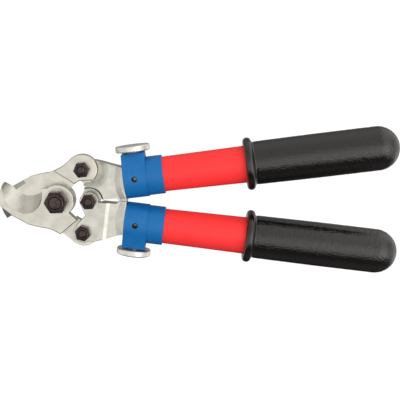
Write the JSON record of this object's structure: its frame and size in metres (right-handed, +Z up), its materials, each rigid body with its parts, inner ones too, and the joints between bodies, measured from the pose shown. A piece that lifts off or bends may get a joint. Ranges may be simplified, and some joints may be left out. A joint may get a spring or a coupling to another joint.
{
  "type": "cable cutter",
  "caption": "Compound-lever cable cutter with hooked blades, bolted pivots, clamped sockets, insulating tubes and rubber grips.",
  "frame": {"origin": "under the middle of the closed tool, on the plane its grip flanges rest on", "axes": "+X from the jaws to the grips along the tool's axis, +Y towards the upper handle, +Z up, from the bolt heads to the nuts"},
  "size_m": [0.371, 0.138, 0.049],
  "materials": {
    "blade_steel": "ground and lightly blasted forged steel",
    "lever_steel": "blasted forged steel",
    "black_fasteners": "black oxide",
    "nylon_ring": "matt",
    "washer_steel": "zinc plated, satin",
    "blue_socket": "satin moulded",
    "brass_bush": "machined",
    "spring_pin": "phosphated spring steel",
    "nickel_knob": "nickel plated",
    "red_tube": "glossy glass-fibre tube",
    "black_grip": "pebbled rubber"
  },
  "bodies": {
    "upper_blade": {"upper_blade": "blade_steel", "main_bolt": "black_fasteners", "main_nut": "black_fasteners", "main_nut_ring": "nylon_ring", "main_head_washer": "washer_steel", "main_nut_washer": "washer_steel", "upper_link_bolt": "black_fasteners", "upper_link_nut": "black_fasteners", "upper_link_nut_ring": "nylon_ring", "upper_link_washer": "washer_steel"},
    "lower_blade": {"lower_blade": "blade_steel"},
    "upper_lever": {"upper_lever": "lever_steel", "centre_bolt": "black_fasteners", "centre_nut": "black_fasteners", "centre_nut_ring": "nylon_ring", "centre_washer": "washer_steel"},
    "lower_lever": {"lower_lever": "lever_steel", "lower_link_bolt": "black_fasteners", "lower_link_nut": "black_fasteners", "lower_link_nut_ring": "nylon_ring", "lower_link_washer": "washer_steel"},
    "upper_handle": {"upper_socket": "blue_socket", "upper_thread_bush": "brass_bush", "upper_spring_pin": "spring_pin", "upper_tube": "red_tube", "upper_grip": "black_grip"},
    "upper_clamp_pad": {"upper_pressure_pad": "brass_bush"},
    "upper_clamp_screw": {"upper_thumb_screw": "nickel_knob"},
    "lower_handle": {"lower_socket": "blue_socket", "lower_thread_bush": "brass_bush", "lower_spring_pin": "spring_pin", "lower_tube": "red_tube", "lower_grip": "black_grip"},
    "lower_clamp_pad": {"lower_pressure_pad": "brass_bush"},
    "lower_clamp_screw": {"lower_thumb_screw": "nickel_knob"}
  },
  "joints": [
    {"name": "main_pivot", "type": "hinge", "parent": "upper_blade", "child": "lower_blade", "pos_m": [-0.13164, 0, 0.0245], "axis": [0, 0, 1], "range_deg": [0, 55.8]},
    {"name": "upper_link_pivot", "type": "hinge", "parent": "upper_blade", "child": "upper_lever", "pos_m": [-0.10814, 0.0295, 0.0245], "axis": [0, 0, 1], "range_deg": [0, 79.4]},
    {"name": "centre_pivot", "type": "hinge", "parent": "upper_lever", "child": "lower_lever", "pos_m": [-0.10244, 0, 0.0245], "axis": [0, 0, -1], "range_deg": [0, 103]},
    {"name": "upper_handle_slide", "type": "slide", "parent": "upper_lever", "child": "upper_handle", "axis": [0.9929, 0.1193, 0], "range_m": [0, 0.055]},
    {"name": "upper_pad_travel", "type": "slide", "parent": "upper_handle", "child": "upper_clamp_pad", "axis": [-0.1193, 0.9929, 0], "range_m": [0, 0.0021]},
    {"name": "upper_screw_turn", "type": "hinge", "parent": "upper_clamp_pad", "child": "upper_clamp_screw", "pos_m": [-0.0612, 0.04135, 0.0245], "axis": [-0.1193, 0.9929, 0], "range_deg": [0, 720]},
    {"name": "lower_handle_slide", "type": "slide", "parent": "lower_lever", "child": "lower_handle", "axis": [0.9929, -0.1193, 0], "range_m": [0, 0.055]},
    {"name": "lower_pad_travel", "type": "slide", "parent": "lower_handle", "child": "lower_clamp_pad", "axis": [-0.1193, -0.9929, 0], "range_m": [0, 0.0021]},
    {"name": "lower_screw_turn", "type": "hinge", "parent": "lower_clamp_pad", "child": "lower_clamp_screw", "pos_m": [-0.0612, -0.04135, 0.0245], "axis": [-0.1193, -0.9929, 0], "range_deg": [0, 720]}
  ],
  "couplings": [
    {"joint": "upper_link_pivot", "follows": "centre_pivot", "ratio": 0.7707},
    {"joint": "main_pivot", "follows": "centre_pivot", "ratio": 0.5415},
    {"joint": "upper_pad_travel", "follows": "upper_screw_turn", "m_per_rad": 0.00015915},
    {"joint": "lower_pad_travel", "follows": "lower_screw_turn", "m_per_rad": 0.00015915}
  ]
}
